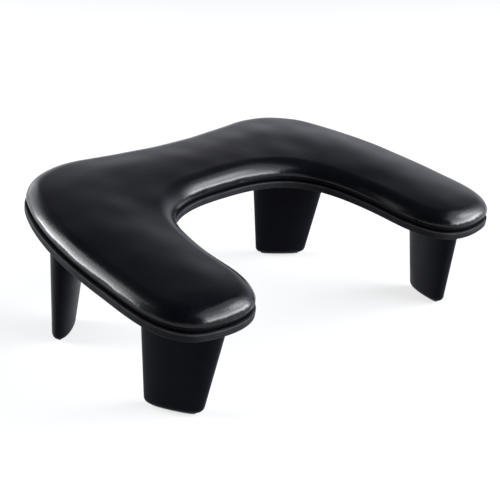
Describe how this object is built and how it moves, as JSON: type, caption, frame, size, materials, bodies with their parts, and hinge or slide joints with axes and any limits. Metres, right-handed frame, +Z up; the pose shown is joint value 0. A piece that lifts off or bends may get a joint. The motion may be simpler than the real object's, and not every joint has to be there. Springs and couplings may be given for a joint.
{
  "type": "manicure hand rest",
  "caption": "U-shaped padded hand rest: a black leather-covered cushion on a sloping base plate with tapered oval legs.",
  "frame": {"origin": "middle of the footprint, on the surface that the foot pads stand on", "axes": "+Z up; -Y towards the open side of the U, where the top is lower; +X to the right seen from the open side"},
  "size_m": [0.341, 0.2272, 0.1251],
  "materials": {
    "leather": "black imitation leather, fine grain, satin sheen",
    "foam": "open-cell foam, matt",
    "board": "bare hardboard",
    "plate": "black, finely speckled, matt",
    "leg": "painted black, satin",
    "pad_rubber": "black rubber, matt",
    "screw_steel": "zinc-plated"
  },
  "bodies": {
    "root": {"base_plate": "plate", "cushion_board": "board", "cushion_screw_1": "screw_steel", "cushion_screw_2": "screw_steel", "cushion_screw_3": "screw_steel", "cushion_screw_4": "screw_steel", "cushion_screw_5": "screw_steel", "cushion_screw_6": "screw_steel", "foam_pad": "foam", "foot_pad_back_left": "pad_rubber", "foot_pad_back_right": "pad_rubber", "foot_pad_front_left": "pad_rubber", "foot_pad_front_right": "pad_rubber", "leather_cover": "leather", "leg_back_left": "leg", "leg_back_right": "leg", "leg_front_left": "leg", "leg_front_right": "leg", "leg_screw_back_left_inner": "screw_steel", "leg_screw_back_left_outer": "screw_steel", "leg_screw_back_right_inner": "screw_steel", "leg_screw_back_right_outer": "screw_steel", "leg_screw_front_left_inner": "screw_steel", "leg_screw_front_left_outer": "screw_steel", "leg_screw_front_right_inner": "screw_steel", "leg_screw_front_right_outer": "screw_steel"}
  },
  "joints": []
}
